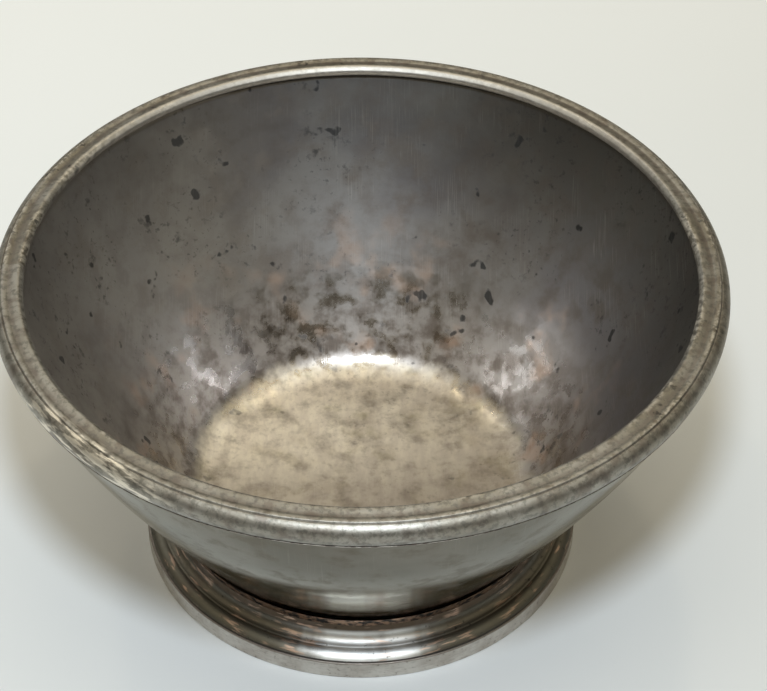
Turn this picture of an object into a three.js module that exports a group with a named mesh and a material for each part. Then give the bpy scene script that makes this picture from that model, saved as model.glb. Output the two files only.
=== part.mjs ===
// Open round sugar bowl on a low spreading foot.
// Millimetres, +Z up along the bowl's axis, origin at the centre of the face the foot stands on.
// Every piece is a turned form, so each one is a closed section spun round the axis.

import * as THREE from 'three';

// Driving dimensions
const HEIGHT = 50.6;
const RIM_RADIUS = 52;
const FOOT_RADIUS = 32.7;
const FLOOR_HEIGHT = 7.6;
const SHELL_THICKNESS = 2.2;
const FACETS = 72;
const GAP = 0.2;
const RIM_SEAM = 0.3;

// Rim moulding, from the inside out: a bevelled lip, a trough, a worn reed, a groove and an outer bead.
// Its underside has a rebate that sits over the edge of the bowl.
const RIM_WIDTH = 4.5;
const RIM_DEPTH = 3.5;
const RIM_LOWER_CHAMFER = 0.4;
const LIP_BEVEL = 0.55;
const LIP_LAND = 0.35;
const LIP_RADIUS = 0.9;
const TROUGH = { inset: 1.9, drop: 0.26 };
const REED_RADIUS = 1.2;
const REED = { inset: 2.7, drop: 1.35 };
const GROOVE = { inset: 3.22, drop: 0.48 };
const BEAD_RADIUS = 1.9;
const BEAD_DROP = 2.15;
const REBATE_RADIUS = 50.5;
const REBATE_DEPTH = 1.4;
const REBATE_INSET = 1.7;

// Where the rim's curves start and stop, in degrees from the outward direction
const BEAD_SWEEP = [-28, 68];
const REED_SWEEP = [72, 116];
const LIP_SWEEP = [180, 250];

// Bowl shell: a flared wall, straight low down and bowed above, turning under to a flat floor.
// Its edge is thinned to a tongue that the rim moulding sits over.
const SHELL_TOP_RADIUS = RIM_RADIUS - 0.95;
const SHELL_TOP = HEIGHT - RIM_DEPTH - RIM_SEAM;
const SHELL_BOTTOM = FLOOR_HEIGHT - SHELL_THICKNESS;
const KNUCKLE_RADIUS = 8.2;
const FLOOR_RADIUS = 22.5;
const WALL_SLOPE = 33.2;
const STRAIGHT_LENGTH = 12.5;
const TONGUE_RADIUS = REBATE_RADIUS - RIM_SEAM;
const TONGUE_HEIGHT = 1.4;

// Foot: an upright neck, a small cove and a bead, standing on a flat band
const BAND_HEIGHT = 3;
const BAND_THICKNESS = 1.6;
const BAND_CHAMFER = 0.2;
const NECK_RADIUS = 29.05;
const NECK_TAPER = 0.45;
const NECK_THICKNESS = 1.2;
const NECK_TOP_INSIDE = SHELL_BOTTOM + 1.25;
const NECK_TOP_OUTSIDE = SHELL_BOTTOM + 2.3;
const NECK_FOOT_HEIGHT = 4.6;
const FOOT_BEAD_RADIUS = 2.05;
const FOOT_BEAD = { radius: 30.73, height: 2.13 };
const COVE_RADIUS = 1.6;
const COVE_HEIGHT = 5.86;

// Solder fillets, each a small triangle in the corner that it fills
const RIM_FILLET = { width: 0.3, height: 0.7, slope: 0.3 };
const NECK_FILLET = { width: 0.6, height: 0.7, rise: 1.3, lift: 0.3, clearance: 0.35 };

// A section's points are (radius, height) pairs.
function point(radius, height) {
  return new THREE.Vector2(radius, height);
}

function degrees(radians) {
  return THREE.MathUtils.radToDeg(radians);
}

// The point at a distance and an angle from a centre, the angle in degrees from the outward direction.
function polar(centre, distance, angle) {
  const turn = THREE.MathUtils.degToRad(angle);
  return point(centre.x + distance * Math.cos(turn), centre.y + distance * Math.sin(turn));
}

function arc(centre, radius, from, to, steps) {
  const angles = Array.from({ length: steps + 1 }, (_, i) => from + ((to - from) * i) / steps);
  return angles.map((angle) => polar(centre, radius, angle));
}

// Spins a section, listed anticlockwise, round the Z axis.
function turned(name, section, finish) {
  const geometry = new THREE.LatheGeometry(section, FACETS);
  geometry.rotateX(Math.PI / 2);
  const mesh = new THREE.Mesh(geometry, new THREE.MeshStandardMaterial(finish));
  mesh.name = name;
  return mesh;
}

// A ring's section is closed by repeating its first point.
function ring(name, section, finish) {
  return turned(name, [...section, section[0]], finish);
}

// The wall runs straight on from the knuckle arc, then bows smoothly up to the top of the shell.
// The bow is twice the angle between its chord and the straight stretch.
const knuckleCentre = point(FLOOR_RADIUS, SHELL_BOTTOM + KNUCKLE_RADIUS);
const knuckle = polar(knuckleCentre, KNUCKLE_RADIUS, -WALL_SLOPE);
const bowStart = polar(knuckle, STRAIGHT_LENGTH, 90 - WALL_SLOPE);
const bowRise = point(SHELL_TOP_RADIUS, SHELL_TOP).sub(bowStart);
const halfBow = THREE.MathUtils.degToRad(WALL_SLOPE) - Math.atan2(bowRise.x, bowRise.y);
const bowRadius = bowRise.length() / (2 * Math.sin(halfBow));
const bowCentre = polar(bowStart, -bowRadius, -WALL_SLOPE);

function bow(radius, top, steps) {
  const topAngle = degrees(Math.asin((top - bowCentre.y) / radius));
  return arc(bowCentre, radius, -WALL_SLOPE, topAngle, steps);
}

function bowlShell() {
  const section = [
    point(0, SHELL_BOTTOM),
    ...arc(knuckleCentre, KNUCKLE_RADIUS, -90, -WALL_SLOPE, 6),
    ...bow(bowRadius, SHELL_TOP, 6),
    point(TONGUE_RADIUS, SHELL_TOP),
    point(TONGUE_RADIUS, SHELL_TOP + TONGUE_HEIGHT),
    ...bow(bowRadius - SHELL_THICKNESS, SHELL_TOP + TONGUE_HEIGHT, 6).reverse(),
    ...arc(knuckleCentre, KNUCKLE_RADIUS - SHELL_THICKNESS, -WALL_SLOPE, -90, 5),
    point(0, FLOOR_HEIGHT),
  ];
  return turned('bowl_shell', section, { color: 0x8d8984, roughness: 0.28, metalness: 1 });
}

// Places a detail of the rim by its distance out from the inside edge and down from the top.
function onRim({ inset, drop }) {
  return point(RIM_RADIUS - RIM_WIDTH + inset, HEIGHT - drop);
}

function rimMoulding() {
  const inside = RIM_RADIUS - RIM_WIDTH;
  const underside = HEIGHT - RIM_DEPTH;
  const bead = point(RIM_RADIUS - BEAD_RADIUS, HEIGHT - BEAD_DROP);
  const lip = point(inside + LIP_RADIUS, HEIGHT - LIP_RADIUS);
  const section = [
    point(inside + REBATE_INSET, underside + REBATE_DEPTH),
    point(REBATE_RADIUS, underside + REBATE_DEPTH),
    point(REBATE_RADIUS, underside),
    point(RIM_RADIUS - RIM_LOWER_CHAMFER, underside),
    ...arc(bead, BEAD_RADIUS, ...BEAD_SWEEP, 6),
    onRim(GROOVE),
    ...arc(onRim(REED), REED_RADIUS, ...REED_SWEEP, 3),
    onRim(TROUGH),
    point(inside + LIP_BEVEL + LIP_LAND, HEIGHT),
    point(inside + LIP_BEVEL, HEIGHT),
    point(inside, HEIGHT - LIP_BEVEL),
    ...arc(lip, LIP_RADIUS, ...LIP_SWEEP, 3),
  ];
  return ring('rim_moulding', section, { color: 0x9c968c, roughness: 0.34, metalness: 1 });
}

function rimSolder() {
  const inside = SHELL_TOP_RADIUS + GAP;
  const top = HEIGHT - RIM_DEPTH - GAP;
  const section = [
    point(inside - RIM_FILLET.slope, top - RIM_FILLET.height),
    point(inside + RIM_FILLET.width, top),
    point(inside, top),
  ];
  return ring('rim_solder', section, { color: 0x8a8172, roughness: 0.5, metalness: 1 });
}

function footRing() {
  const underside = BAND_HEIGHT + GAP;
  const bead = point(FOOT_BEAD.radius, FOOT_BEAD.height);
  const cove = point(NECK_RADIUS + COVE_RADIUS, COVE_HEIGHT);
  const meeting = degrees(Math.atan2(cove.y - bead.y, cove.x - bead.x));
  const lowest = degrees(Math.asin((underside - bead.y) / FOOT_BEAD_RADIUS));
  const section = [
    point(NECK_RADIUS, underside),
    ...arc(bead, FOOT_BEAD_RADIUS, lowest, meeting, 6),
    ...arc(cove, COVE_RADIUS, meeting - 180, -180, 5).slice(1),
    point(NECK_RADIUS - NECK_TAPER, NECK_TOP_OUTSIDE),
    point(NECK_RADIUS - NECK_TAPER - NECK_THICKNESS, NECK_TOP_INSIDE),
    point(NECK_RADIUS - NECK_THICKNESS, NECK_FOOT_HEIGHT),
  ];
  return ring('foot_ring', section, { color: 0x7c756d, roughness: 0.3, metalness: 1 });
}

function footBand() {
  const inside = FOOT_RADIUS - BAND_THICKNESS;
  const section = [
    point(inside, 0),
    point(FOOT_RADIUS - BAND_CHAMFER, 0),
    point(FOOT_RADIUS, BAND_CHAMFER),
    point(FOOT_RADIUS, BAND_HEIGHT - BAND_CHAMFER),
    point(FOOT_RADIUS - BAND_CHAMFER, BAND_HEIGHT),
    point(inside, BAND_HEIGHT),
  ];
  return ring('foot_band', section, { color: 0x9a8f82, roughness: 0.55, metalness: 1 });
}

function neckSolder() {
  const inside = NECK_RADIUS - NECK_TAPER + NECK_FILLET.clearance;
  const top = NECK_TOP_OUTSIDE;
  const section = [
    point(inside, top - NECK_FILLET.height),
    point(inside + NECK_FILLET.width, top + NECK_FILLET.rise - GAP),
    point(inside, top + NECK_FILLET.lift),
  ];
  return ring('neck_solder', section, { color: 0x6e5a48, roughness: 0.6, metalness: 1 });
}

const sugarBowl = new THREE.Group();
sugarBowl.add(bowlShell(), rimMoulding(), rimSolder(), footRing(), footBand(), neckSolder());

export default sugarBowl;
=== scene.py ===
"""The looks of a silver sugar bowl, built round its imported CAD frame.

Every visible piece is a finely turned version of its CAD node, in the same place and of the same size.
Sections are (radius, height) points in millimetres, listed anticlockwise; everything else is in metres.
"""

import math

import bpy
import numpy as np
from mathutils import Matrix, Vector, noise


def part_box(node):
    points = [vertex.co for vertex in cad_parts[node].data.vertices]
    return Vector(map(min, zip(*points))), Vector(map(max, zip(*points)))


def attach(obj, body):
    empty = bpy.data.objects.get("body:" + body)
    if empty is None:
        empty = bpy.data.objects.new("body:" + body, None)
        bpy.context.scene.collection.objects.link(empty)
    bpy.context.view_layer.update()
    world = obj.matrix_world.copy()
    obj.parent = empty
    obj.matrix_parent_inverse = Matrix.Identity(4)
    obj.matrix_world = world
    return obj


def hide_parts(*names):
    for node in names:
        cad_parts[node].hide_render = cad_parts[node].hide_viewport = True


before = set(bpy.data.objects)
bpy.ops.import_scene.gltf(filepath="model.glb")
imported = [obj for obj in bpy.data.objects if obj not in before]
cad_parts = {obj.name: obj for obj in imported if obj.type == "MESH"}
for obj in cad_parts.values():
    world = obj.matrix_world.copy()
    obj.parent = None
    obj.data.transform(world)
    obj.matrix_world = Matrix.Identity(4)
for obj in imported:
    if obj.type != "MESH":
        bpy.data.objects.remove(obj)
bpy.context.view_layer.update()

MM = 0.001
SEGMENTS = 320
GAP = 0.2

# ---------------------------------------------------------------- sizes, in millimetres, from the frame


def cad_box(node):
    low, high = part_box(node)
    return low / MM, high / MM


RIM_LOW, RIM_HIGH = cad_box("rim_moulding")
SHELL_LOW, SHELL_HIGH = cad_box("bowl_shell")
RING_LOW, RING_HIGH = cad_box("foot_ring")
BAND_LOW, BAND_HIGH = cad_box("foot_band")
RIM_SOLDER_LOW, RIM_SOLDER_HIGH = cad_box("rim_solder")
NECK_SOLDER_LOW, NECK_SOLDER_HIGH = cad_box("neck_solder")

HEIGHT = RIM_HIGH.z
RIM_RADIUS = RIM_HIGH.x
RIM_WIDTH = 4.5
RIM_INSIDE = RIM_RADIUS - RIM_WIDTH
RIM_LOWER_CHAMFER = 0.4
REBATE_RADIUS = 50.5
REBATE_DEPTH = 1.4
REBATE_INSET = 1.7

# Details of the rim: how far out from its inside edge, and how far down from its top.
LIP_BEVEL = 0.55
LIP_LAND = 0.35
LIP_RADIUS = 0.9
TROUGH = (1.9, 0.26)
REED = (2.7, 1.35)
REED_RADIUS = 1.2
GROOVE = (3.22, 0.48)
BEAD = (2.6, 2.15)
BEAD_RADIUS = 1.9

# Where the rim's curves start and stop, in degrees from the outward direction.
BEAD_SWEEP = (-28, 68)
REED_SWEEP = (72, 116)
LIP_SWEEP = (180, 250)

SHELL_TOP_RADIUS = SHELL_HIGH.x
TONGUE_TOP = SHELL_HIGH.z
TONGUE_HEIGHT = 1.4
SHELL_TOP = TONGUE_TOP - TONGUE_HEIGHT
SHELL_BOTTOM = SHELL_LOW.z
SHELL_THICKNESS = 2.2
TONGUE_RADIUS = 50.2
FLOOR_HEIGHT = SHELL_BOTTOM + SHELL_THICKNESS
FLOOR_RADIUS = 22.5
KNUCKLE_RADIUS = 8.2
WALL_SLOPE = 33.2
STRAIGHT_LENGTH = 12.5

FOOT_RADIUS = BAND_HIGH.x
BAND_HEIGHT = BAND_HIGH.z
BAND_THICKNESS = 1.6
NECK_RADIUS = 29.05
NECK_TAPER = 0.45
NECK_THICKNESS = 1.2
NECK_TOP_INSIDE = SHELL_BOTTOM + 1.25
NECK_FOOT_HEIGHT = 4.6
FOOT_BEAD = Vector((30.73, 2.13))
FOOT_BEAD_RADIUS = 2.05
COVE_RADIUS = 1.6
COVE_HEIGHT = 5.86

# The solder rings fill small corners: the first slopes in at its foot, and the second stands clear.
RIM_FILLET_SLOPE = 0.3
NECK_FILLET_CLEARANCE = 0.35
NECK_FILLET_LIFT = 0.3

# How far each section's corners are rounded, and the longest step along each.
RIM_ROUNDING, RIM_STEP = 0.16, 0.3
FOOT_ROUNDING, FOOT_STEP = 0.08, 0.4
BAND_ROUNDING = 0.3
RIM_SOLDER_ROUNDING = 0.06
NECK_SOLDER_ROUNDING = 0.1
SHELL_STEP = 0.8

WOBBLE = 0.05

# ---------------------------------------------------------------- sections


def polar(centre, distance, angle):
    """The point at a distance and an angle in degrees from a centre."""
    turn = math.radians(angle)
    return Vector((centre[0] + distance * math.cos(turn), centre[1] + distance * math.sin(turn)))


def arc(centre, radius, start, stop, steps):
    return [polar(centre, radius, start + (stop - start) * i / steps) for i in range(steps + 1)]


def softened(points, radius, steps=4):
    """Rounds every corner of a closed section with a quadratic curve of about that radius."""
    result = []
    for before, corner, after in zip(points[-1:] + points[:-1], points, points[1:] + points[:1]):
        back, ahead = before - corner, after - corner
        reach = min(radius, back.length * 0.45, ahead.length * 0.45)
        start = corner + back.normalized() * reach
        stop = corner + ahead.normalized() * reach
        for i in range(steps + 1):
            t = i / steps
            result.append(start * (1 - t) ** 2 + corner * 2 * t * (1 - t) + stop * t**2)
    return result


def divided(points, step, closed):
    """Splits long straight stretches, so that no step along the section is longer than this."""
    ends = points[1:] + points[:1] if closed else points[1:]
    result = []
    for a, b in zip(points, ends):
        count = max(1, math.ceil((b - a).length / step))
        result += [a.lerp(b, i / count) for i in range(count)]
    return result if closed else result + [points[-1]]


def shell_section():
    """The bowl shell's outside from the middle of the underside to the edge, and its inside back."""
    centre = Vector((FLOOR_RADIUS, SHELL_BOTTOM + KNUCKLE_RADIUS))
    knuckle = polar(centre, KNUCKLE_RADIUS, -WALL_SLOPE)
    bow_start = polar(knuckle, STRAIGHT_LENGTH, 90 - WALL_SLOPE)
    rise = Vector((SHELL_TOP_RADIUS, SHELL_TOP)) - bow_start
    half_bow = math.radians(WALL_SLOPE) - math.atan2(rise[0], rise[1])
    radius = rise.length / (2 * math.sin(half_bow))
    bow_centre = polar(bow_start, -radius, -WALL_SLOPE)

    def bow(distance, height):
        top = math.degrees(math.asin((height - bow_centre[1]) / distance))
        return arc(bow_centre, distance, -WALL_SLOPE, top, 40)

    outside = [Vector((0, SHELL_BOTTOM)), *arc(centre, KNUCKLE_RADIUS, -90, -WALL_SLOPE, 16)]
    outside += bow(radius, SHELL_TOP)
    outside += [Vector((TONGUE_RADIUS, SHELL_TOP)), Vector((TONGUE_RADIUS, TONGUE_TOP))]
    inside = bow(radius - SHELL_THICKNESS, TONGUE_TOP)[::-1]
    inside += arc(centre, KNUCKLE_RADIUS - SHELL_THICKNESS, -WALL_SLOPE, -90, 16)
    inside += [Vector((0, FLOOR_HEIGHT))]
    return divided(outside, SHELL_STEP, False), divided(inside, SHELL_STEP, False)


def on_rim(inset, drop):
    return Vector((RIM_INSIDE + inset, HEIGHT - drop))


def rim_section():
    underside = RIM_LOW.z
    corners = [
        Vector((RIM_INSIDE + REBATE_INSET, underside + REBATE_DEPTH)),
        Vector((REBATE_RADIUS, underside + REBATE_DEPTH)),
        Vector((REBATE_RADIUS, underside)),
        Vector((RIM_RADIUS - RIM_LOWER_CHAMFER, underside)),
        *arc(on_rim(*BEAD), BEAD_RADIUS, *BEAD_SWEEP, 16),
        on_rim(*GROOVE),
        *arc(on_rim(*REED), REED_RADIUS, *REED_SWEEP, 6),
        on_rim(*TROUGH),
        on_rim(LIP_BEVEL + LIP_LAND, 0),
        on_rim(LIP_BEVEL, 0),
        on_rim(0, LIP_BEVEL),
        *arc(on_rim(LIP_RADIUS, LIP_RADIUS), LIP_RADIUS, *LIP_SWEEP, 8),
    ]
    return divided(softened(corners, RIM_ROUNDING, 2), RIM_STEP, True)


def ring_section():
    underside = RING_LOW.z
    cove = Vector((NECK_RADIUS + COVE_RADIUS, COVE_HEIGHT))
    towards_cove = cove - FOOT_BEAD
    meeting = math.degrees(math.atan2(towards_cove[1], towards_cove[0]))
    lowest = math.degrees(math.asin((underside - FOOT_BEAD[1]) / FOOT_BEAD_RADIUS))
    corners = [
        Vector((NECK_RADIUS, underside)),
        *arc(FOOT_BEAD, FOOT_BEAD_RADIUS, lowest, meeting, 16),
        *arc(cove, COVE_RADIUS, meeting - 180, -180, 12)[1:],
        Vector((NECK_RADIUS - NECK_TAPER, RING_HIGH.z)),
        Vector((NECK_RADIUS - NECK_TAPER - NECK_THICKNESS, NECK_TOP_INSIDE)),
        Vector((NECK_RADIUS - NECK_THICKNESS, NECK_FOOT_HEIGHT)),
    ]
    return divided(softened(corners, FOOT_ROUNDING, 2), FOOT_STEP, True)


def band_section():
    inside = FOOT_RADIUS - BAND_THICKNESS
    corners = [
        Vector((inside, 0)),
        Vector((FOOT_RADIUS, 0)),
        Vector((FOOT_RADIUS, BAND_HEIGHT)),
        Vector((inside, BAND_HEIGHT)),
    ]
    return divided(softened(corners, BAND_ROUNDING, 6), FOOT_STEP, True)


def rim_solder_section():
    inside = SHELL_TOP_RADIUS + GAP
    corners = [
        Vector((inside - RIM_FILLET_SLOPE, RIM_SOLDER_LOW.z)),
        Vector((RIM_SOLDER_HIGH.x, RIM_SOLDER_HIGH.z)),
        Vector((inside, RIM_SOLDER_HIGH.z)),
    ]
    return softened(corners, RIM_SOLDER_ROUNDING, 3)


def neck_solder_section():
    inside = NECK_RADIUS - NECK_TAPER + NECK_FILLET_CLEARANCE
    corners = [
        Vector((inside, NECK_SOLDER_LOW.z)),
        Vector((NECK_SOLDER_HIGH.x, NECK_SOLDER_HIGH.z)),
        Vector((inside, RING_HIGH.z + NECK_FILLET_LIFT)),
    ]
    return softened(corners, NECK_SOLDER_ROUNDING, 3)


# ---------------------------------------------------------------- turned meshes


def hollow_wobble(angle, height):
    """How far in, in millimetres, handling has pushed the metal here: at most about 0.1 mm."""
    place = Vector((math.cos(angle) * 1.6, math.sin(angle) * 1.6, height / 22))
    return WOBBLE * (1 + noise.noise(place)) if height > BAND_HEIGHT else 0.0


def relief_along(section, closed):
    """For each point, how far it stands out of the section smoothed over a millimetre, from -1 to 1."""
    points = np.array([tuple(p) for p in section])
    count = len(points)
    relief = np.zeros(count)
    ahead = np.roll(points, -1, 0) - np.roll(points, 1, 0)
    normals = np.stack([ahead[:, 1], -ahead[:, 0]], 1)
    normals /= np.maximum(np.linalg.norm(normals, axis=1), 1e-9)[:, None]
    for i in range(count):
        weights = np.exp(-(np.linalg.norm(points - points[i], axis=1) / 0.45) ** 2)
        if not closed:
            weights = weights * (np.abs(np.arange(count) - i) < count // 3)
        centre = (points * weights[:, None]).sum(0) / weights.sum()
        relief[i] = (points[i] - centre) @ normals[i]
    return np.clip(relief / 0.12, -1, 1)


def turned(name, section, closed=True, relief=None):
    """Spins a section round the Z axis and returns the object, with its relief as a mesh attribute."""
    relief = relief_along(section, closed) if relief is None else relief
    vertices, values, rows = [], [], []
    for p, standing in zip(section, relief):
        on_axis = p[0] < 1e-6
        row = []
        for k in range(1 if on_axis else SEGMENTS):
            angle = 2 * math.pi * k / SEGMENTS
            pushed = 0 if on_axis else hollow_wobble(angle, p[1]) * min(1, p[0] / 20)
            radius = max(0.0, p[0] - pushed)
            row.append(len(vertices))
            vertices.append((radius * math.cos(angle) * MM, radius * math.sin(angle) * MM, p[1] * MM))
            values.append(standing)
        rows.append(row)
    faces = []
    for low, high in zip(rows, rows[1:] + rows[:1] if closed else rows[1:]):
        for k in range(SEGMENTS):
            j = (k + 1) % SEGMENTS
            corners = [low[k % len(low)], low[j % len(low)], high[j % len(high)], high[k % len(high)]]
            faces.append(list(dict.fromkeys(corners)))
    mesh = bpy.data.meshes.new(name)
    mesh.from_pydata(vertices, [], [f for f in faces if len(f) > 2])
    mesh.polygons.foreach_set("use_smooth", [True] * len(mesh.polygons))
    mesh.attributes.new("relief", "FLOAT", "POINT").data.foreach_set("value", values)
    mesh.update()
    piece = bpy.data.objects.new(name, mesh)
    bpy.context.scene.collection.objects.link(piece)
    return piece


# ---------------------------------------------------------------- materials


class Look:
    """A material's node tree, with one short call for each kind of node it needs."""

    def __init__(self, name):
        self.material = bpy.data.materials.new(name)
        self.material.use_nodes = True
        self.tree = self.material.node_tree
        self.shader = self.tree.nodes["Principled BSDF"]
        self.shader.inputs["Metallic"].default_value = 1.0
        self.place = self.node("ShaderNodeTexCoord").outputs["Object"]

    def node(self, kind, **settings):
        made = self.tree.nodes.new(kind)
        for key, value in settings.items():
            setattr(made, key, value)
        return made

    def feed(self, socket, value):
        if isinstance(value, bpy.types.NodeSocket):
            self.tree.links.new(value, socket)
        else:
            socket.default_value = value

    def attribute(self, name):
        return self.node("ShaderNodeAttribute", attribute_name=name).outputs["Fac"]

    def math(self, operation, a, b=0.0):
        made = self.node("ShaderNodeMath", operation=operation)
        self.feed(made.inputs[0], a)
        self.feed(made.inputs[1], b)
        return made.outputs[0]

    def band(self, value, low, high, to_low=0.0, to_high=1.0):
        """Maps low..high smoothly to to_low..to_high, and holds the ends beyond them."""
        made = self.node("ShaderNodeMapRange", interpolation_type="SMOOTHSTEP")
        for key, number in (("Value", value), ("From Min", low), ("From Max", high)):
            self.feed(made.inputs[key], number)
        self.feed(made.inputs["To Min"], to_low)
        self.feed(made.inputs["To Max"], to_high)
        return made.outputs["Result"]

    def coordinates(self):
        apart = self.node("ShaderNodeSeparateXYZ")
        self.feed(apart.inputs[0], self.place)
        return apart.outputs["X"], apart.outputs["Y"], apart.outputs["Z"]

    def distance_out(self, x, y):
        squares = self.math("ADD", self.math("POWER", x, 2.0), self.math("POWER", y, 2.0))
        return self.math("SQRT", squares)

    def stretched(self, size, turn=(0, 0, 0)):
        """Places for a pattern of this size in millimetres, along each axis after a turn in degrees."""
        made = self.node("ShaderNodeMapping")
        self.feed(made.inputs["Vector"], self.place)
        made.inputs["Rotation"].default_value = [math.radians(a) for a in turn]
        made.inputs["Scale"].default_value = [1 / (s * MM) for s in size]
        return made.outputs["Vector"]

    def round_places(self, around, out, up):
        """Places measured along the turning: round the axis, out from it and up it, in millimetres."""
        x, y, z = self.coordinates()
        angle = self.math("ARCTAN2", y, x)
        radius = self.distance_out(x, y)
        joined = self.node("ShaderNodeCombineXYZ")
        self.feed(joined.inputs["X"], self.math("MULTIPLY", angle, TURNING_RADIUS / around))
        self.feed(joined.inputs["Y"], self.math("MULTIPLY", radius, 1 / (out * MM)))
        self.feed(joined.inputs["Z"], self.math("MULTIPLY", z, 1 / (up * MM)))
        return joined.outputs[0]

    def noise(self, places, detail=3.0, roughness=0.55):
        made = self.node("ShaderNodeTexNoise", noise_dimensions="3D")
        self.feed(made.inputs["Vector"], places)
        made.inputs["Scale"].default_value = 1.0
        made.inputs["Detail"].default_value = detail
        made.inputs["Roughness"].default_value = roughness
        return made.outputs["Fac"]

    def blotches(self, size, detail=3.0, roughness=0.55):
        return self.noise(self.stretched((size,) * 3), detail, roughness)

    def mix(self, share, a, b):
        made = self.node("ShaderNodeMix", data_type="RGBA", clamp_factor=True)
        self.feed(made.inputs[0], share)
        self.feed(made.inputs[6], a)
        self.feed(made.inputs[7], b)
        return made.outputs[2]

    def blend(self, share, a, b):
        made = self.node("ShaderNodeMix", data_type="FLOAT", clamp_factor=True)
        self.feed(made.inputs[0], share)
        self.feed(made.inputs[2], a)
        self.feed(made.inputs[3], b)
        return made.outputs[0]

    def bump(self, height, depth, normal=None):
        """Adds relief of this depth in millimetres, where height goes from 0 to 1."""
        made = self.node("ShaderNodeBump")
        made.inputs["Strength"].default_value = 1.0
        made.inputs["Distance"].default_value = depth * MM
        self.feed(made.inputs["Height"], height)
        if normal is not None:
            self.feed(made.inputs["Normal"], normal)
        return made.outputs["Normal"]

    def finish(self, colour, roughness, normal):
        self.feed(self.shader.inputs["Base Color"], colour)
        self.feed(self.shader.inputs["Roughness"], roughness)
        self.feed(self.shader.inputs["Normal"], normal)
        return self.material


def scratches(look, turn, length=9.0, width=0.12):
    """Fine parallel scratches in patches, from 0 to 1."""
    lines = look.noise(look.stretched((width, length, length), turn), 1.0)
    patches = look.blotches(7.0, 2.0)
    return look.math("MULTIPLY", look.band(lines, 0.6, 0.72), look.band(patches, 0.45, 0.62))


# Patterns that follow the turning are at their stated size this far out, in millimetres.
TURNING_RADIUS = 40

SILVER = (0.30, 0.29, 0.285, 1)
BRIGHT_SILVER_AND_HIGHLIGHT = (0.66, 0.63, 0.58, 1)
VIOLET_GREY = (0.22, 0.21, 0.225, 1)
BROWN_TARNISH_AND_SHADE = (0.16, 0.13, 0.11, 1)
DARK_TARNISH_AND_SHADE = (0.025, 0.026, 0.027, 1)
COPPER = (0.70, 0.49, 0.37, 1)
PINK = (0.54, 0.50, 0.475, 1)
DUSK = (0.13, 0.125, 0.11, 1)
TAN = (0.92, 0.86, 0.75, 1)
OLIVE = (0.40, 0.37, 0.24, 1)
FLOOR_TAN = (0.78, 0.72, 0.64, 1)
PAINTED_LIGHT_WALL = (0.46, 0.43, 0.38, 1)
OUTSIDE_DARK = (0.12, 0.105, 0.085, 1)
OUTSIDE_MIDDLING = (0.18, 0.16, 0.135, 1)
OUTSIDE_PAINTED_REFLECTION = (0.24, 0.225, 0.20, 1)
OUTSIDE_BLOTS = (0.10, 0.075, 0.05, 1)
OUTSIDE_LOW_TARNISH_AND_SHADE = (0.06, 0.05, 0.04, 1)
EDGE_TINT = (0.86, 0.85, 0.79, 1)
LOW_EDGE_TINT = (0.36, 0.34, 0.30, 1)
RIM_GREY = (0.36, 0.345, 0.31, 1)
RIM_BROWN = (0.24, 0.22, 0.18, 1)
FOOT_PAINTED_HIGHLIGHT = (0.92, 0.92, 0.90, 1)
FOOT_PAINTED_SHADE = (0.16, 0.15, 0.12, 1)
NECK_BROWN = (0.12, 0.09, 0.065, 1)
BAND_PALE = (0.62, 0.59, 0.54, 1)
BAND_DULL = (0.50, 0.46, 0.41, 1)
RIM_SOLDER_GREY = (0.42, 0.38, 0.33, 1)
NECK_SOLDER_BROWN = (0.34, 0.22, 0.15, 1)
TABLE_GREY = (0.71, 0.735, 0.745, 1)
TABLE_PALE = (0.725, 0.745, 0.755, 1)
TABLE_PAINTED_LIGHT = (0.90, 0.94, 0.98, 1)


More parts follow.
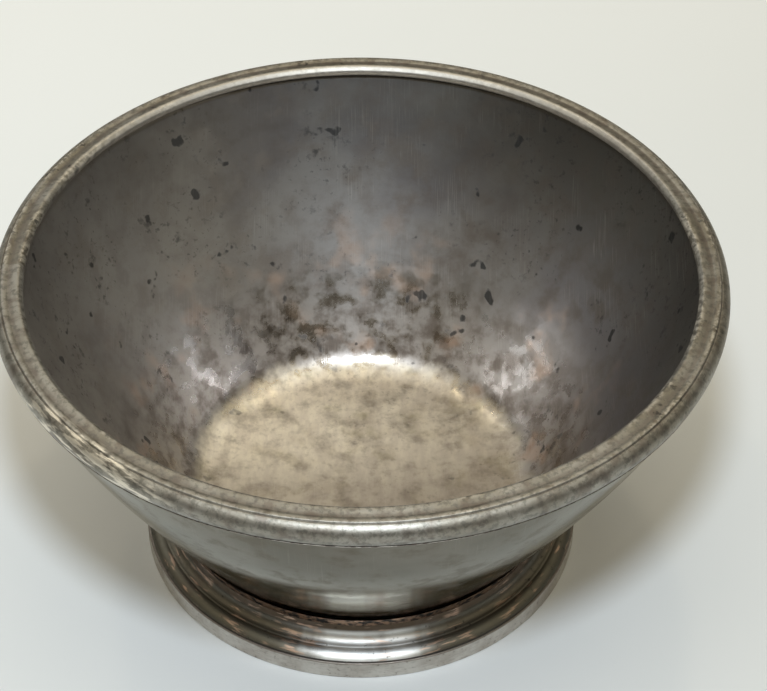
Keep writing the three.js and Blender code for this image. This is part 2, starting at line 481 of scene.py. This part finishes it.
def inside_silver():
    """The inside of the bowl: a hazy, spotted wall and a matt, scratched floor."""
    look = Look("inside_silver")
    x, y, z = look.coordinates()
    height = look.math("DIVIDE", z, MM)
    wide, middling, fine = look.blotches(24.0, 4.0), look.blotches(5.0, 5.0, 0.6), look.blotches(1.1, 4.0)
    colour = look.mix(look.band(wide, 0.4, 0.62), VIOLET_GREY, SILVER)
    colour = look.mix(look.band(middling, 0.45, 0.7, 0.0, 0.65), colour, BROWN_TARNISH_AND_SHADE)
    # Low down the plate is thin, and the wall turns pink.
    uneven = look.math("ADD", height, look.math("MULTIPLY", wide, 20.0))
    colour = look.mix(look.band(uneven, 22.0, 36.0, 0.75, 0.0), colour, PINK)
    # Painted shade makes it darkest near the rim and on the right, and painted light makes it palest on
    # the left.
    upper_shade = look.band(height, 20.0, 46.0, 0.0, 0.6)
    upper_shade = look.math("MULTIPLY", upper_shade, look.band(x, -30.0 * MM, 0.0))
    shade = look.math("ADD", upper_shade, look.band(x, 0.0, 40.0 * MM, 0.0, 0.3))
    colour = look.mix(shade, colour, DUSK)
    colour = look.mix(look.band(x, -32.0 * MM, -4.0 * MM, 0.6, 0.0), colour, PAINTED_LIGHT_WALL)
    # Brown smudges gather where the wall turns into the floor.
    smudges = look.band(look.blotches(3.6, 5.0, 0.6), 0.42, 0.66, 0.0, 0.8)
    smudges = look.math("MULTIPLY", look.band(height, 12.0, 24.0, 1.0, 0.3), smudges)
    colour = look.mix(smudges, colour, BROWN_TARNISH_AND_SHADE)
    # In places low on the wall the plate has worn through to the warmer metal.
    worn = look.math("MULTIPLY", look.band(height, 14.0, 34.0, 1.0, 0.0), look.band(middling, 0.32, 0.55))
    worn = look.math("MULTIPLY", worn, look.band(look.blotches(8.0, 2.0), 0.56, 0.7))
    colour = look.mix(look.math("MULTIPLY", worn, 0.4), colour, COPPER)
    # The floor is duller and tan, with soft streaks, olive patches and brown ones.
    ragged = look.math("ADD", height, look.math("MULTIPLY", middling, 5.0))
    floor = look.band(ragged, FLOOR_HEIGHT + 2.8, FLOOR_HEIGHT + 4.6, 1.0, 0.0)
    streaky = look.noise(look.stretched((1.6, 5.0, 5.0), (0, 0, -40)), 4.0, 0.6)
    mottled = look.mix(look.band(streaky, 0.35, 0.65), FLOOR_TAN, TAN)
    olive = look.band(look.blotches(4.5, 4.0, 0.6), 0.5, 0.75, 0.0, 0.6)
    mottled = look.mix(olive, mottled, OLIVE)
    brown = look.band(look.blotches(4.0, 5.0, 0.6), 0.42, 0.75, 0.0, 0.6)
    mottled = look.mix(brown, mottled, BROWN_TARNISH_AND_SHADE)
    mottled = look.mix(look.band(fine, 0.5, 0.8, 0.0, 0.3), mottled, BROWN_TARNISH_AND_SHADE)
    # Painted shade darkens it towards the right and the front, so it is palest at the far left.
    mottled = look.mix(look.band(x, -20.0 * MM, 22.0 * MM, 0.0, 0.4), mottled, BROWN_TARNISH_AND_SHADE)
    mottled = look.mix(look.band(y, -6.0 * MM, 11.0 * MM, 0.55, 0.0), mottled, BROWN_TARNISH_AND_SHADE)
    colour = look.mix(floor, colour, mottled)
    # Black spots, ragged at their edges, and many small specks.
    large = look.math("ADD", look.blotches(4.2, 2.0), look.math("MULTIPLY", fine, 0.12))
    spots = look.band(large, 0.735, 0.775)
    crowded = look.band(look.blotches(13.0, 2.0), 0.42, 0.6)
    specks = look.band(look.blotches(1.9, 3.0, 0.6), 0.58, 0.74, 0.0, 0.8)
    small_specks = look.band(look.blotches(0.8, 2.0, 0.6), 0.6, 0.74, 0.0, 0.6)
    specks = look.math("MULTIPLY", look.math("MAXIMUM", specks, small_specks), crowded)
    dark = look.math("MAXIMUM", spots, specks)
    darkness = look.math("MULTIPLY", dark, look.blend(floor, 0.8, 0.35))
    colour = look.mix(darkness, colour, DARK_TARNISH_AND_SHADE)
    scratch = look.math("MAXIMUM", scratches(look, (0, 0, 38)), scratches(look, (0, 0, -52), 6.0))
    colour = look.mix(look.math("MULTIPLY", scratch, 0.12), colour, BRIGHT_SILVER_AND_HIGHLIGHT)
    rough = look.blend(look.band(wide, 0.35, 0.65), 0.42, 0.48)
    glints = look.blend(look.band(look.blotches(3.2, 3.0), 0.42, 0.62), 0.42, 0.17)
    rough = look.blend(look.band(height, 16.0, 26.0, 1.0, 0.0), rough, glints)
    rough = look.blend(look.band(middling, 0.5, 0.7), rough, 0.5)
    dull = look.band(ragged, FLOOR_HEIGHT + 2.2, FLOOR_HEIGHT + 3.6, 1.0, 0.0)
    rough = look.blend(dull, rough, 0.56)
    rough = look.blend(dark, rough, 0.6)
    normal = look.bump(middling, 0.02)
    normal = look.bump(look.math("SUBTRACT", fine, look.math("MULTIPLY", scratch, 0.5)), 0.008, normal)
    return look.finish(colour, rough, normal)


def outside_silver():
    """The outside of the bowl: glossier, with a paler painted reflection partway down, and brown tarnish
    and painted shade low down where it meets the foot.
    """
    look = Look("outside_silver")
    height = look.math("DIVIDE", look.coordinates()[2], MM)
    wide = look.blotches(16.0, 3.0)
    streaks = look.noise(look.round_places(3.0, 60.0, 40.0), 3.0)
    fine = look.blotches(1.4, 4.0)
    colour = look.mix(look.band(wide, 0.38, 0.62), OUTSIDE_DARK, OUTSIDE_MIDDLING)
    ragged = look.math("ADD", height, look.math("MULTIPLY", wide, 6.0))
    # Below about 30 to 39 mm up, the wall is painted paler, a painted reflection.
    colour = look.mix(look.band(ragged, 30.0, 39.0, 0.9, 0.0), colour, OUTSIDE_PAINTED_REFLECTION)
    colour = look.mix(look.band(streaks, 0.45, 0.75, 0.0, 0.4), colour, BROWN_TARNISH_AND_SHADE)
    blots = look.blotches(5.0, 4.0, 0.6)
    colour = look.mix(look.band(blots, 0.48, 0.62, 0.0, 0.7), colour, OUTSIDE_BLOTS)
    # Low down it is painted dark brown, partly tarnish and partly painted shade.
    low = look.band(ragged, 13.0, 19.0, 0.8, 0.0)
    colour = look.mix(low, colour, OUTSIDE_LOW_TARNISH_AND_SHADE)
    # Seen along its surface, the tarnish hides what the silver would mirror, most of all low down.
    look.feed(look.shader.inputs["Specular Tint"], look.mix(low, EDGE_TINT, LOW_EDGE_TINT))
    copper = look.band(streaks, 0.56, 0.64, 0.0, 0.5)
    copper = look.math("MULTIPLY", look.band(ragged, 13.0, 19.0, 1.0, 0.0), copper)
    colour = look.mix(copper, colour, COPPER)
    colour = look.mix(look.band(fine, 0.64, 0.74, 0.0, 0.5), colour, BROWN_TARNISH_AND_SHADE)
    scratch = scratches(look, (20, 50, 30), 12.0)
    colour = look.mix(look.math("MULTIPLY", scratch, 0.1), colour, BRIGHT_SILVER_AND_HIGHLIGHT)
    rough = look.blend(look.band(wide, 0.35, 0.65), 0.08, 0.14)
    rough = look.blend(look.band(blots, 0.5, 0.66), rough, 0.24)
    rough = look.blend(look.band(fine, 0.5, 0.75), rough, 0.22)
    normal = look.bump(look.blotches(6.0, 3.0), 0.006)
    normal = look.bump(look.math("SUBTRACT", fine, scratch), 0.0015, normal)
    return look.finish(colour, rough, normal)


def rim_silver():
    """The rim moulding: grainy, worn bright on its ridges and dark in its grooves."""
    look = Look("rim_silver")
    relief = look.attribute("relief")
    patches = look.noise(look.round_places(9.0, 40.0, 40.0), 4.0)
    grain = look.noise(look.round_places(0.9, 0.9, 0.9), 3.0)
    fine = look.blotches(0.5, 3.0)
    colour = look.mix(look.band(patches, 0.35, 0.65), RIM_GREY, RIM_BROWN)
    brown = look.band(look.blotches(2.2, 4.0, 0.6), 0.46, 0.66, 0.0, 0.6)
    colour = look.mix(brown, colour, BROWN_TARNISH_AND_SHADE)
    grainy_relief = look.math("ADD", relief, look.math("MULTIPLY", grain, -0.5))
    hollow = look.band(grainy_relief, -0.75, -0.15, 1.0, 0.0)
    colour = look.mix(look.math("MULTIPLY", hollow, 0.45), colour, BROWN_TARNISH_AND_SHADE)
    ridge = look.math("MULTIPLY", look.band(relief, 0.1, 0.6), look.band(grain, 0.4, 0.6))
    worn = look.math("MULTIPLY", ridge, look.band(patches, 0.48, 0.6))
    colour = look.mix(look.math("MULTIPLY", ridge, 0.2), colour, BRIGHT_SILVER_AND_HIGHLIGHT)
    colour = look.mix(look.math("MULTIPLY", worn, 0.5), colour, TAN)
    spots = look.band(look.blotches(1.3, 3.0), 0.6, 0.7)
    spots = look.math("MULTIPLY", spots, look.band(patches, 0.5, 0.62))
    colour = look.mix(look.math("MULTIPLY", spots, 0.75), colour, DARK_TARNISH_AND_SHADE)
    colour = look.mix(look.band(look.blotches(0.9, 4.0, 0.65), 0.48, 0.62, 0.0, 0.55), colour, DUSK)
    # It is painted bright in streaks on one short stretch, at the near left.
    x, y, z = look.coordinates()
    bright_stretch = look.band(look.math("ADD", x, y), -71.5 * MM, -69.5 * MM, 1.0, 0.0)
    streaks = look.noise(look.round_places(3.0, 0.8, 0.8), 3.0)
    bright_stretch = look.math("MULTIPLY", bright_stretch, look.band(streaks, 0.46, 0.58))
    colour = look.mix(look.math("MULTIPLY", bright_stretch, 0.8), colour, TAN)
    # A painted highlight makes the far side's bevel bright, and painted shade makes the metal under the
    # lip black.
    inset = look.math("SUBTRACT", look.math("DIVIDE", look.distance_out(x, y), MM), RIM_INSIDE)
    bevel_highlight = look.math("MULTIPLY", look.band(inset, 0.7, 1.0, 0.6, 0.0), look.band(y, 10.0 * MM, 35.0 * MM))
    colour = look.mix(bevel_highlight, colour, BRIGHT_SILVER_AND_HIGHLIGHT)
    drop = look.math("SUBTRACT", HEIGHT, look.math("DIVIDE", z, MM))
    under_lip_shade = look.math("MULTIPLY", look.band(drop, 1.1, 1.9), look.band(inset, 1.3, 1.7, 1.0, 0.0))
    colour = look.mix(under_lip_shade, colour, DARK_TARNISH_AND_SHADE)
    rough = look.blend(look.band(grain, 0.35, 0.65), 0.5, 0.6)
    rough = look.blend(look.band(inset, 2.8, 3.2), rough, 0.48)
    rough = look.blend(hollow, rough, 0.62)
    normal = look.bump(grain, 0.035)
    normal = look.bump(fine, 0.014, normal)
    return look.finish(colour, rough, normal)


def foot_silver():
    """The foot ring: satin, with brown tarnish in its cove, a painted highlight on its front, painted
    shade on its sides and back, and a dark brown neck.
    """
    look = Look("foot_silver")
    relief = look.attribute("relief")
    patches = look.noise(look.round_places(7.0, 30.0, 30.0), 3.0)
    streaks = look.noise(look.round_places(5.0, 0.6, 0.6), 3.0)
    fine = look.blotches(0.8, 4.0)
    # Its front is painted bright as a painted highlight, its sides and back are painted dark as painted
    # shade, and its neck is painted dark brown.
    x, y, z = look.coordinates()
    unevenness = look.math("MULTIPLY", look.math("SUBTRACT", patches, 0.5), 8.0 * MM)
    aside = look.math("ADD", look.math("ABSOLUTE", x), unevenness)
    aside = look.math("ADD", aside, look.band(y, -20.0 * MM, 0.0, 0.0, 20.0 * MM))
    lit_and_shaded = look.mix(look.band(aside, 3.0 * MM, 13.0 * MM), FOOT_PAINTED_HIGHLIGHT, FOOT_PAINTED_SHADE)
    lit_and_shaded = look.mix(look.band(z, 5.4 * MM, 6.2 * MM), lit_and_shaded, NECK_BROWN)
    colour = look.mix(look.band(patches, 0.45, 0.7, 0.0, 0.6), lit_and_shaded, BROWN_TARNISH_AND_SHADE)
    hollow = look.band(relief, -0.5, 0.0, 1.0, 0.0)
    colour = look.mix(look.math("MULTIPLY", hollow, 0.3), colour, BROWN_TARNISH_AND_SHADE)
    copper = look.math("MULTIPLY", look.band(streaks, 0.54, 0.64), look.band(patches, 0.4, 0.6))
    colour = look.mix(look.math("MULTIPLY", copper, 0.7), colour, COPPER)
    colour = look.mix(look.band(fine, 0.62, 0.74, 0.0, 0.6), colour, DARK_TARNISH_AND_SHADE)
    rough = look.blend(look.band(fine, 0.35, 0.7), 0.44, 0.52)
    normal = look.bump(look.math("ADD", streaks, look.math("MULTIPLY", fine, 0.6)), 0.006)
    return look.finish(colour, rough, normal)


def band_silver():
    """The foot band: matt and finely brushed, with a dark ledge on top."""
    look = Look("band_silver")
    brushed = look.noise(look.round_places(2.5, 0.15, 0.15), 3.0)
    patches = look.blotches(5.0, 4.0)
    fine = look.blotches(0.6, 4.0)
    colour = look.mix(look.band(patches, 0.4, 0.65), BAND_PALE, BAND_DULL)
    colour = look.mix(look.band(brushed, 0.5, 0.7, 0.0, 0.35), colour, BROWN_TARNISH_AND_SHADE)
    colour = look.mix(look.band(fine, 0.6, 0.72, 0.0, 0.5), colour, BROWN_TARNISH_AND_SHADE)
    height = look.coordinates()[2]
    ledge = look.band(height, (BAND_HEIGHT - 0.25) * MM, (BAND_HEIGHT - 0.08) * MM)
    colour = look.mix(look.math("MULTIPLY", ledge, 0.75), colour, BROWN_TARNISH_AND_SHADE)
    rough = look.blend(look.band(fine, 0.35, 0.7), 0.45, 0.62)
    normal = look.bump(look.math("ADD", brushed, fine), 0.008)
    return look.finish(colour, rough, normal)


def solder(name, colour, tarnish):
    """A solder line: dull and lumpy."""
    look = Look(name)
    lumps = look.blotches(1.2, 4.0)
    shade = look.mix(look.band(lumps, 0.4, 0.62), colour, tarnish)
    rough = look.blend(look.band(lumps, 0.4, 0.62), 0.4, 0.6)
    return look.finish(shade, rough, look.bump(lumps, 0.02))


def pale_floor():
    """A table with painted light: whiter behind and to the left, and a little cooler and greyer in front.
    """
    look = Look("pale_floor")
    look.shader.inputs["Metallic"].default_value = 0.0
    x, y, _ = look.coordinates()
    leftward = look.math("SUBTRACT", y, look.math("MULTIPLY", x, 0.6))
    patches = look.blotches(60.0, 2.0)
    colour = look.mix(look.band(patches, 0.3, 0.7), TABLE_GREY, TABLE_PALE)
    colour = look.mix(look.band(leftward, -60.0 * MM, 220.0 * MM), colour, TABLE_PAINTED_LIGHT)
    rough = look.blend(look.band(patches, 0.3, 0.7), 0.5, 0.6)
    return look.finish(colour, rough, look.bump(look.blotches(0.8, 3.0), 0.004))


# ---------------------------------------------------------------- pieces


def place(piece, node, slot, *materials):
    for material in materials:
        piece.data.materials.append(material)
    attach(piece, "root")
    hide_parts(node)


def bowl():
    outside, inside = shell_section()
    relief = np.concatenate([relief_along(outside, False), relief_along(inside, False)])
    piece = turned("silver_shell", outside + inside, closed=False, relief=relief)
    place(piece, "bowl_shell", "shell_silver", outside_silver(), inside_silver())
    first_inside = sum(1 if p[0] < 1e-6 else SEGMENTS for p in outside)
    for face in piece.data.polygons:
        face.material_index = int(min(face.vertices) >= first_inside)


def rim():
    place(turned("silver_rim", rim_section()), "rim_moulding", "rim_silver", rim_silver())
    fillet = turned("silver_rim_solder", rim_solder_section())
    look = solder("rim_solder_look", RIM_SOLDER_GREY, BROWN_TARNISH_AND_SHADE)
    place(fillet, "rim_solder", "solder_silver", look)


def foot():
    place(turned("silver_foot", ring_section()), "foot_ring", "foot_silver", foot_silver())
    place(turned("silver_band", band_section()), "foot_band", "band_silver", band_silver())
    fillet = turned("silver_neck_solder", neck_solder_section())
    look = solder("neck_solder_look", NECK_SOLDER_BROWN, DARK_TARNISH_AND_SHADE)
    place(fillet, "neck_solder", "solder_tarnish", look)


# ---------------------------------------------------------------- stage, lights and camera

KEY_COLOUR = (0.80, 0.90, 1.0)
WINDOW_COLOUR = (0.85, 0.92, 1.0)
LAMP_COLOUR = (1.0, 0.86, 0.62)
ROOM_LOW = (0.04, 0.038, 0.033, 1)
ROOM_HIGH = (0.86, 0.78, 0.60, 1)
BACKDROP = (0.62, 0.62, 0.61, 1)

CAMERA_PLACE = (0, -0.27069, 0.27601)
CAMERA_PITCH, CAMERA_YAW, CAMERA_ROLL = 41.648, 0.682, 0.546
CAMERA_LENS = 117.34


def stage():
    bpy.ops.mesh.primitive_circle_add(vertices=128, radius=3.0, fill_type="NGON", location=(0, 0, 0))
    floor = bpy.context.object
    floor.name = "pale_floor"
    floor.data.materials.append(pale_floor())


def soft_light(name, place, target, size, power, colour):
    lamp = bpy.data.lights.new(name, "AREA")
    lamp.shape = "DISK"
    lamp.size = size
    lamp.energy = power
    lamp.color = colour
    light = bpy.data.objects.new(name, lamp)
    light.location = place
    light.rotation_euler = (Vector(target) - Vector(place)).to_track_quat("-Z", "Y").to_euler()
    bpy.context.scene.collection.objects.link(light)


def studio():
    """A small soft key light just above the camera, a window, two warm lamps and a dim warm room."""
    soft_light("key", (0.0, -0.204, 0.351), (0, 0, 0.02), 0.05, 0.95, KEY_COLOUR)
    soft_light("window", (-0.45, 0.55, 0.5), (-0.05, 0.05, 0), 0.6, 0.7, WINDOW_COLOUR)
    soft_light("right_back_lamp", (0.11, 0.34, 0.82), (0, 0, 0), 0.07, 0.35, LAMP_COLOUR)
    soft_light("left_back_lamp", (-0.30, 0.27, 0.81), (0, 0, 0), 0.06, 0.25, LAMP_COLOUR)
    world = bpy.data.worlds.new("room")
    bpy.context.scene.world = world
    world.use_nodes = True
    tree = world.node_tree
    background = tree.nodes["Background"]
    apart = tree.nodes.new("ShaderNodeSeparateXYZ")
    tree.links.new(tree.nodes.new("ShaderNodeTexCoord").outputs["Generated"], apart.inputs[0])
    ramp = tree.nodes.new("ShaderNodeValToRGB")
    ramp.color_ramp.interpolation = "EASE"
    for stop, position, colour in zip(ramp.color_ramp.elements, (0.2, 0.9), (ROOM_LOW, ROOM_HIGH)):
        stop.position = position
        stop.color = colour
    tree.links.new(apart.outputs["Z"], ramp.inputs[0])
    paths = tree.nodes.new("ShaderNodeLightPath")
    pick = tree.nodes.new("ShaderNodeMix")
    pick.data_type = "RGBA"
    tree.links.new(paths.outputs["Is Camera Ray"], pick.inputs[0])
    tree.links.new(ramp.outputs["Color"], pick.inputs[6])
    pick.inputs[7].default_value = BACKDROP
    tree.links.new(pick.outputs[2], background.inputs["Color"])


def camera():
    """The camera looks down at the bowl from about 0.39 m away."""
    pitch, yaw, roll = (math.radians(a) for a in (CAMERA_PITCH, CAMERA_YAW, CAMERA_ROLL))
    ahead = Vector((math.sin(yaw) * math.cos(pitch), math.cos(yaw) * math.cos(pitch), -math.sin(pitch)))
    level = Vector((math.cos(yaw), -math.sin(yaw), 0))
    upward = level.cross(ahead)
    right = level * math.cos(roll) + upward * math.sin(roll)
    top = upward * math.cos(roll) - level * math.sin(roll)
    data = bpy.data.cameras.new("camera")
    data.sensor_width = 36
    data.lens = CAMERA_LENS
    data.clip_start = 0.01
    eye = bpy.data.objects.new("camera", data)
    turned_to = Matrix((right, top, -ahead)).transposed().to_4x4()
    eye.matrix_world = Matrix.Translation(CAMERA_PLACE) @ turned_to
    bpy.context.scene.collection.objects.link(eye)
    bpy.context.scene.camera = eye


camera()
bowl()
rim()
foot()
stage()
studio()
bpy.context.scene.view_settings.view_transform = "Standard"
